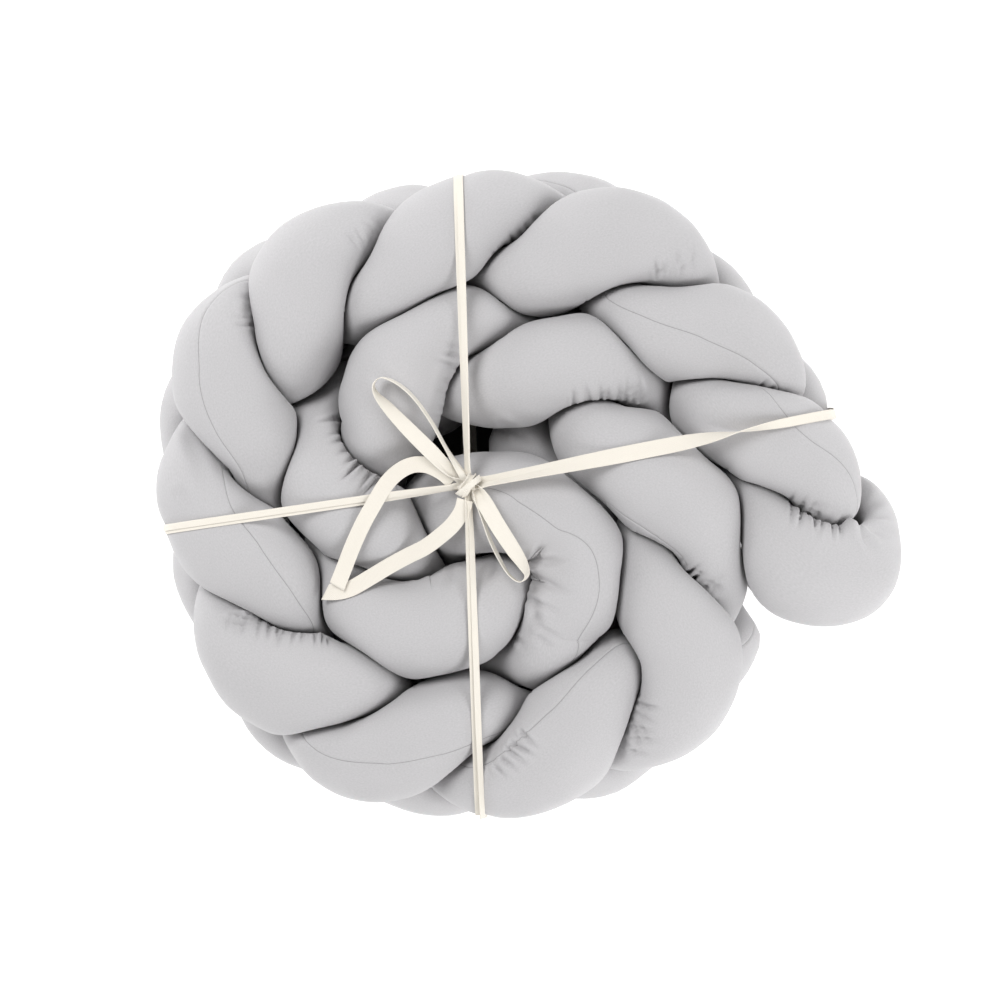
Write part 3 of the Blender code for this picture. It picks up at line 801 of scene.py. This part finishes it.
def tape_mesh(name, line, material, closed=False, half_turned=False, cut=0.0):
    """Tape along a line: each section is set across and up from its middle.

    A half turned band closes with its faces changed over.  A slanting cut moves the last
    stretch of the tape ahead on one side and back on the other.
    """
    middle, lateral, normal, lean, fold = line
    section, share = tape_sections(lean, fold, closed)
    points = (middle[:, None] + lateral[:, None] * section[:, :, :1]
              + normal[:, None] * section[:, :, 1:])
    steps = np.linalg.norm(np.diff(np.concatenate([middle, middle[:1]]), axis=0), axis=1)
    lengths = np.concatenate([[0.0], np.cumsum(steps)])
    across = share * TAPE_WIDTH / 2
    near_end = np.clip(1 - (lengths[len(middle) - 1] - lengths[:len(middle)]) / CUT_RUN, 0, 1)
    ahead = unit(middle[-1] - middle[-2])
    points = points + (near_end[:, None] * across[None, :] * cut)[:, :, None] * ahead

    rings, sides = points.shape[:2]
    corners = grid_corners(rings if closed else rings - 1, sides)
    change = sides // 2 if half_turned else 0
    faces = np.stack([(r % rings) * sides + (s + change * (r == rings)) % sides
                      for r, s in corners], axis=2).reshape(-1, 4).tolist()
    places = cloth_places(corners, lengths, np.append(across, across[0]))
    if not closed:
        faces += [cap.tolist() for cap in end_rings(rings, sides)]
        flat = [np.column_stack([np.full(sides, lengths[end]), order])
                for end, order in ((0, across[::-1]), (rings - 1, across))]
        places = np.concatenate([places] + flat)
    return cloth_piece(name, points, faces, places, material)


def free_line(rows, samples):
    """Middle line of free tape, with its lateral and upper directions, lean and fold."""
    values = smooth_curve(rows, np.linspace(0, len(rows) - 1, samples))
    middle = values[:, :3]
    along = unit(np.gradient(middle, axis=0))
    level = unit(np.column_stack([-along[:, 1], along[:, 0], 0 * along[:, 0]]))
    none = np.zeros(samples)
    lean = values[:, 3] if values.shape[1] > 3 else none
    fold = np.clip(values[:, 4], 0, 1) if values.shape[1] > 4 else none
    return middle, level, np.cross(along, level), lean, fold


def wrap_line(heading, half_width, half_height, lean, samples=48):
    """A turn of tape round the knot: an ellipse that stands square to the given heading."""
    turn = np.linspace(0, 2 * math.pi, samples, endpoint=False)[:, None]
    axis = np.array([*arm_direction(heading), 0.0])
    aside = np.cross(axis, (0.0, 0.0, 1.0))
    up = np.array([0.0, 0.0, 1.0])
    middle = knot_middle() + aside * half_width * np.sin(turn) + up * half_height * np.cos(turn)
    normal = unit(aside * np.sin(turn) / half_width + up * np.cos(turn) / half_height)
    none = 0 * turn[:, 0]
    return middle, axis + 0 * middle, normal, lean + none, WRAP_FOLD + none


def knot_middle():
    """Middle of the knot."""
    return from_table([KNOT_PLACE])[0] + (0.0, 0.0, KNOT_LIFT)


def knot_lump(name, material):
    """The crumpled heart of the knot, on a round grid: an ellipsoid of half sizes
    KNOT_HEART times 1 + 0.10 sin(5a + 3d) sin d + 0.05 sin(9a - 4d), where a is the turn
    round it and d the turn down from its top."""
    around = np.linspace(0, 2 * math.pi, 48, endpoint=False)[None, :]
    down = np.linspace(0.02, math.pi - 0.02, 25)[:, None]
    ball = np.stack([np.sin(down) * np.cos(around), np.sin(down) * np.sin(around),
                     np.cos(down) + 0 * around], axis=2)
    creases = (1 + 0.10 * np.sin(5 * around + 3 * down) * np.sin(down)
               + 0.05 * np.sin(9 * around - 4 * down))
    points = knot_middle() + ball * creases[:, :, None] * np.array(KNOT_HEART)
    rings, sides = points.shape[:2]
    first, *others = grid_corners(rings - 1, sides)
    faces = np.stack([r * sides + s % sides for r, s in (first, *others[::-1])], axis=2)
    ends = [cap[::-1].tolist() for cap in end_rings(rings, sides)]
    return cloth_piece(name, points, faces.reshape(-1, 4).tolist() + ends, None, material)


# ---- materials ----
class Wire:
    """A socket of a shader graph that can stand in sums: each operator adds a node."""

    def __init__(self, graph, socket):
        self.graph = graph
        self.socket = socket

    def __add__(self, other):
        return self.graph.sum("ADD", self, other)

    def __sub__(self, other):
        return self.graph.sum("SUBTRACT", self, other)

    def __rsub__(self, other):
        return self.graph.sum("SUBTRACT", other, self)

    def __mul__(self, other):
        return self.graph.sum("MULTIPLY", self, other)

    def __truediv__(self, other):
        return self.graph.sum("DIVIDE", self, other)

    def __rtruediv__(self, other):
        return self.graph.sum("DIVIDE", other, self)

    __radd__ = __add__
    __rmul__ = __mul__


class Graph:
    """The nodes of one material, built by calls."""

    def __init__(self, name):
        self.material = bpy.data.materials.new(name)
        self.material.use_nodes = True
        self.tree = self.material.node_tree
        self.shader = self.tree.nodes["Principled BSDF"]

    def node(self, kind, settings=(), output=0, **sockets):
        """Adds a node: its settings first, then the value or link of each named socket."""
        made = self.tree.nodes.new("ShaderNode" + kind)
        for key, value in dict(settings).items():
            setattr(made, key, value)
        for key, value in sockets.items():
            numbered = key.startswith("in_") and key[3:].isdigit()
            self.feed(made.inputs[int(key[3:]) if numbered else key.replace("_", " ")], value)
        return Wire(self, made.outputs[output])

    def feed(self, socket, value):
        """Links a wire to a socket, or sets the socket to a plain value."""
        if isinstance(value, Wire):
            self.tree.links.new(value.socket, socket)
        else:
            socket.default_value = value

    def sum(self, operation, first, second=0.0, third=0.0):
        """One Math node."""
        return self.node("Math", {"operation": operation}, in_0=first, in_1=second, in_2=third)

    def mix(self, share, first, second):
        """Colour between two colours."""
        made = self.tree.nodes.new("ShaderNodeMix")
        made.data_type = 'RGBA'
        for index, value in ((0, share), (6, first), (7, second)):
            self.feed(made.inputs[index], value)
        return Wire(self, made.outputs[2])

    def cloth(self):
        """The piece's cloth map, and the lengths along the cloth and across it."""
        cloth = self.node("UVMap", {"uv_map": "cloth"})
        along = self.node("SeparateXYZ", Vector=cloth)
        return cloth, along, Wire(self, along.socket.node.outputs[1])

    def surface(self, **sockets):
        """Feeds the Principled shader, and gives the finished material."""
        for key, value in sockets.items():
            self.feed(self.shader.inputs[key.replace("_", " ")], value)
        return self.material


SEAM_LINE = 0.0004      # half the width of the line that a seam draws
WALE = 0.0011           # between the jersey's columns of loops
COURSE = 0.0009         # between its rows of loops
RIB = 0.0012            # between the ribs of the tape, along it
JERSEY_DARK = (0.40, 0.394, 0.40, 1)
JERSEY_LIGHT = (0.50, 0.491, 0.50, 1)
# near black of the painted shade in the crevices
PAINTED_CREVICE_SHADE_TONE = (0.05, 0.048, 0.048, 1)
SEAM_TONE = (0.17, 0.165, 0.165, 1)
TAPE_DARK = (0.66, 0.615, 0.54, 1)
TAPE_LIGHT = (0.80, 0.765, 0.695, 1)


def grey_jersey():
    """Fine heathered cotton jersey: columns of small loops, uneven yarn, a dark line along
    the seam, and painted shade in the crevices, the darker the harder the tube is pressed there."""
    graph = Graph("grey_jersey_cloth")
    cloth, along, around = graph.cloth()
    wales = graph.sum("SINE", around * (2 * math.pi / WALE))
    zigzag = graph.sum("ABSOLUTE", graph.sum("SINE", around * (math.pi / WALE)))
    courses = graph.sum("SINE", along * (2 * math.pi / COURSE) + zigzag * 2.4)
    yarn = graph.node("TexNoise", Vector=cloth, Scale=900.0, Detail=2.0)
    patches = graph.node("TexNoise", Vector=cloth, Scale=26.0, Detail=3.0)
    shade = (yarn - 0.5) * 1.3 + (patches - 0.5) * 0.25 + 0.5
    colour = graph.mix(shade, JERSEY_DARK, JERSEY_LIGHT)
    # painted shade: the cloth is mixed towards near black where the tube is pressed into a
    # crevice
    painted_crevice_shade = graph.node("Attribute", {"attribute_name": "painted_crevice_shade"}, output=2)
    colour = graph.mix(painted_crevice_shade * 0.9, colour, PAINTED_CREVICE_SHADE_TONE)
    from_seam = GIRTH / 2 - graph.sum("ABSOLUTE", around - GIRTH / 2)
    stitched = 1 - graph.sum("SMOOTH_MIN", from_seam / SEAM_LINE, 1.0, 0.5)
    colour = graph.mix(stitched * 0.75 * (1 - painted_crevice_shade), colour, SEAM_TONE)
    pucker = graph.node("Attribute", {"attribute_name": "pucker"}, output=2)
    rumple = graph.node("TexNoise", Vector=cloth, Scale=160.0, Detail=1.0)
    height = (wales * 0.3 + courses * 0.5) * 0.00003 + (yarn - 0.5) * 0.00016
    height = height + (rumple - 0.5) * (0.0006 * (pucker + 0.15))
    normal = graph.node("Bump", Strength=0.55, Distance=1.0, Height=height)
    graph.surface(Base_Color=colour, Roughness=0.92, Normal=normal, Sheen_Weight=0.25,
                  Sheen_Roughness=0.45, Specular_IOR_Level=0.25)
    return graph.material


def cream_tape():
    """Cotton twill tape: slanting ribs, and yarn that is a little darker between them."""
    graph = Graph("cream_twill_tape")
    cloth, along, across = graph.cloth()
    ribs = graph.sum("SINE", (along + across) * (2 * math.pi / RIB))
    yarn = graph.node("TexNoise", Vector=cloth, Scale=1400.0, Detail=2.0)
    shade = ribs * 0.22 + (yarn - 0.5) * 0.5 + 0.5
    colour = graph.mix(shade, TAPE_DARK, TAPE_LIGHT)
    height = ribs * 0.00006 + (yarn - 0.5) * 0.00010
    normal = graph.node("Bump", Strength=0.7, Distance=1.0, Height=height)
    graph.surface(Base_Color=colour, Roughness=0.9, Normal=normal, Sheen_Weight=0.15,
                  Specular_IOR_Level=0.25)
    return graph.material


# ---- camera, floor and light ----
LENS_MM = 85
SENSOR_MM = 36
FIELD = 0.74            # width seen at STRANDS_TOP
STRANDS_TOP = 0.17
CAMERA_PLACE = (-2.3, -0.37, 0.0)   # x_cm, y_cm, z_cm of the floor straight below it
LIGHTS = (
    # name, place, size, power
    ("upper_left", (-0.9, 0.9, 1.8), 1.0, 31),
    ("lower_right", (1.2, -0.9, 1.4), 1.0, 22),
    ("side_1", (1.5, 0.0, 0.3), 0.7, 6),
    ("side_2", (0.0, 1.5, 0.3), 0.7, 6),
    ("side_3", (-1.5, 0.0, 0.3), 0.7, 6),
    ("side_4", (0.0, -1.5, 0.3), 0.7, 6),
)
LIGHT_AIM = (0, 0, 0.1)
SKY_POWER = 0.38
FLOOR_SIZE = 12
FLOOR_GLOW = 0.26
PAINTED_SHADE_REACH = (0.13, 0.17)   # distances from the origin over which the floor's painted shade in the core of the roll ends
# near black of the floor's painted shade under the core of the roll
PAINTED_CORE_SHADE_TONE = (0.05, 0.05, 0.05, 1)
FLOOR_TONE = (0.92, 0.92, 0.92, 1)


def add_camera():
    """A camera that looks straight down, as high as makes it see FIELD at STRANDS_TOP."""
    lens = bpy.data.cameras.new("camera")
    lens.lens = LENS_MM
    lens.sensor_width = SENSOR_MM
    camera = bpy.data.objects.new("camera", lens)
    bpy.context.scene.collection.objects.link(camera)
    camera.location = from_table([CAMERA_PLACE])[0]
    camera.location.z = STRANDS_TOP + FIELD * lens.lens / lens.sensor_width
    bpy.context.scene.camera = camera


def add_light(name, place, size, power):
    """A square lamp that faces LIGHT_AIM."""
    lamp = bpy.data.lights.new(name, 'AREA')
    lamp.size = size
    lamp.energy = power
    light = bpy.data.objects.new(name, lamp)
    light.location = place
    facing = Vector(LIGHT_AIM) - Vector(place)
    light.rotation_euler = facing.to_track_quat('-Z', 'Y').to_euler()
    bpy.context.scene.collection.objects.link(light)


def add_studio():
    """A white floor with painted shade in the core of the roll, where it is near black and does
    not glow; the lights and the sky.
    """
    graph = Graph("pale_floor_painted_core_shade")
    place = graph.node("TexCoord", output=3)
    distance = graph.node("VectorMath", {"operation": 'LENGTH'}, output=1, in_0=place)
    open_floor = graph.node("MapRange", {"interpolation_type": 'SMOOTHSTEP'}, Value=distance,
                            From_Min=PAINTED_SHADE_REACH[0], From_Max=PAINTED_SHADE_REACH[1])
    # painted shade: near black and without glow in the core of the roll, white and glowing
    # outside it
    paint = graph.mix(open_floor, PAINTED_CORE_SHADE_TONE, FLOOR_TONE)
    glow = graph.mix(open_floor, (0, 0, 0, 1), (1, 1, 1, 1))
    graph.surface(Base_Color=paint, Roughness=0.9, Emission_Color=glow,
                  Emission_Strength=FLOOR_GLOW)
    bpy.ops.mesh.primitive_plane_add(size=FLOOR_SIZE)
    floor = bpy.context.object
    floor.name = "floor"
    floor.data.materials.append(graph.material)
    for measures in LIGHTS:
        add_light(*measures)
    world = bpy.data.worlds.new("sky")
    world.use_nodes = True
    sky = world.node_tree.nodes["Background"]
    sky.inputs["Color"].default_value = (1, 1, 1, 1)
    sky.inputs["Strength"].default_value = SKY_POWER
    bpy.context.scene.world = world
    bpy.context.scene.view_settings.view_transform = 'Standard'


# ---- assembly ----
def settle(piece, node):
    """The piece rides on the roll and stands for its solid, which is hidden."""
    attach(piece, "root")
    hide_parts(node)


add_camera()
jersey = grey_jersey()
cotton = cream_tape()

for number, rows in enumerate(TAILS):
    line = free_line(from_table(rows), TAIL_RINGS)
    middle = line[0]
    tail = tape_mesh(f"tail_{number + 1}_cloth", line, cotton, cut=TAIL_CUTS[number])
    settle(tail, f"tape_tail_{number + 1}")
    length = float(np.linalg.norm(np.diff(middle, axis=0), axis=1).sum())

routes = [measured_route(strand) for strand in range(STRAND_COUNT)]
skins = [dressed_skin(strand, routes) for strand in range(STRAND_COUNT)]

for _, *headings in BAND_HEADINGS:
    press_band(skins, headings, band_section(skins, headings))
for (name, *headings), turns in zip(BAND_HEADINGS, ARM_TURNS):
    line = band_line(headings, band_section(skins, headings), turns)
    lean = line[3]
    half_turned = abs(lean[0] - lean[-1]) > 90
    band = tape_mesh(f"{name}_cloth", line, cotton, closed=True, half_turned=half_turned)
    settle(band, "tape_tie")
for number, rows in enumerate(LOOPS):
    line = free_line(from_table(rows), LOOP_RINGS)
    loop = tape_mesh(f"bow_loop_{number + 1}_cloth", line, cotton)
    settle(loop, "tape_tie")
settle(knot_lump("knot_heart", cotton), "tape_tie")
for number, measures in enumerate(KNOT_WRAPS):
    wrap = tape_mesh(f"knot_wrap_{number + 1}", wrap_line(*measures), cotton, closed=True)
    settle(wrap, "tape_tie")

for strand, skin in enumerate(skins):
    tube = tube_mesh(f"strand_{strand + 1}_cloth", skin, jersey)
    settle(tube, f"strand_{strand + 1}")

add_studio()
